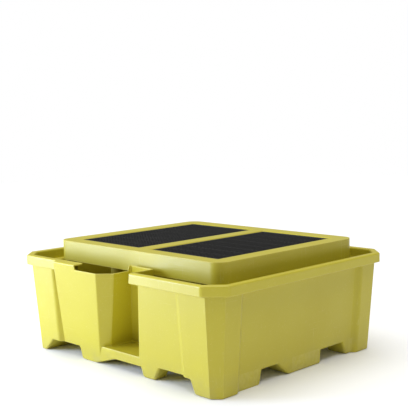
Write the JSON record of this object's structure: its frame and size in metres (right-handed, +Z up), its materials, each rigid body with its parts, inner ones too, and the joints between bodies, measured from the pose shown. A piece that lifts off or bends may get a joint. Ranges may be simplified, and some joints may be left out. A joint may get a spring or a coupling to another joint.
{
  "type": "spill containment pallet",
  "caption": "Moulded sump tub with fork ways, a front pocket and tap recess, holding a deck platform on pipe legs with lift-out gratings.",
  "frame": {"origin": "on the floor under the middle of the tub's rim", "axes": "+Z up; -Y the front, with the pocket and the recess; +X the right side seen from the front"},
  "size_m": [1.85, 1.665, 0.73],
  "materials": {
    "tub_plastic": "satin moulded polyethylene, yellow",
    "deck_plastic": "satin moulded polyethylene, yellow",
    "grating_plastic": "black moulded plastic, satin",
    "bearer_composite": "grey glass-fibre composite",
    "leg_pipe": "yellow polyethylene pipe",
    "seal_rubber": "black rubber",
    "drain_plastic": "black moulded plastic"
  },
  "bodies": {
    "tub": {"sump_tub": "tub_plastic", "drain_gasket": "seal_rubber", "drain_fitting": "drain_plastic", "drain_lock_nut": "drain_plastic"},
    "platform": {"deck_platform": "deck_plastic", "bearer_left_front": "bearer_composite", "bearer_left_back": "bearer_composite", "bearer_right_front": "bearer_composite", "bearer_right_back": "bearer_composite", "leg_front_left": "leg_pipe", "leg_front_middle": "leg_pipe", "leg_front_right": "leg_pipe", "leg_middle_left": "leg_pipe", "leg_middle": "leg_pipe", "leg_middle_right": "leg_pipe", "leg_back_left": "leg_pipe", "leg_back_middle": "leg_pipe", "leg_back_right": "leg_pipe"},
    "grating_left": {"grating_left": "grating_plastic"},
    "grating_right": {"grating_right": "grating_plastic"},
    "plug_seal": {"plug_seal": "seal_rubber"},
    "drain_plug": {"drain_plug": "drain_plastic"}
  },
  "joints": [
    {"name": "platform_lift", "type": "slide", "parent": "tub", "child": "platform", "axis": [0, 0, 1], "range_m": [0, 0.6]},
    {"name": "grating_left_lift", "type": "slide", "parent": "platform", "child": "grating_left", "axis": [0, 0, 1], "range_m": [0, 0.12]},
    {"name": "grating_right_lift", "type": "slide", "parent": "platform", "child": "grating_right", "axis": [0, 0, 1], "range_m": [0, 0.12]},
    {"name": "plug_out", "type": "slide", "parent": "tub", "child": "plug_seal", "axis": [0, 1, 0], "range_m": [0, 0.026]},
    {"name": "plug_turn", "type": "hinge", "parent": "plug_seal", "child": "drain_plug", "pos_m": [0.3, 0.746, 0.16], "axis": [0, 1, 0], "range_deg": [0, 720]}
  ],
  "couplings": [
    {"joint": "plug_out", "follows": "plug_turn", "m_per_rad": 0.002069}
  ]
}
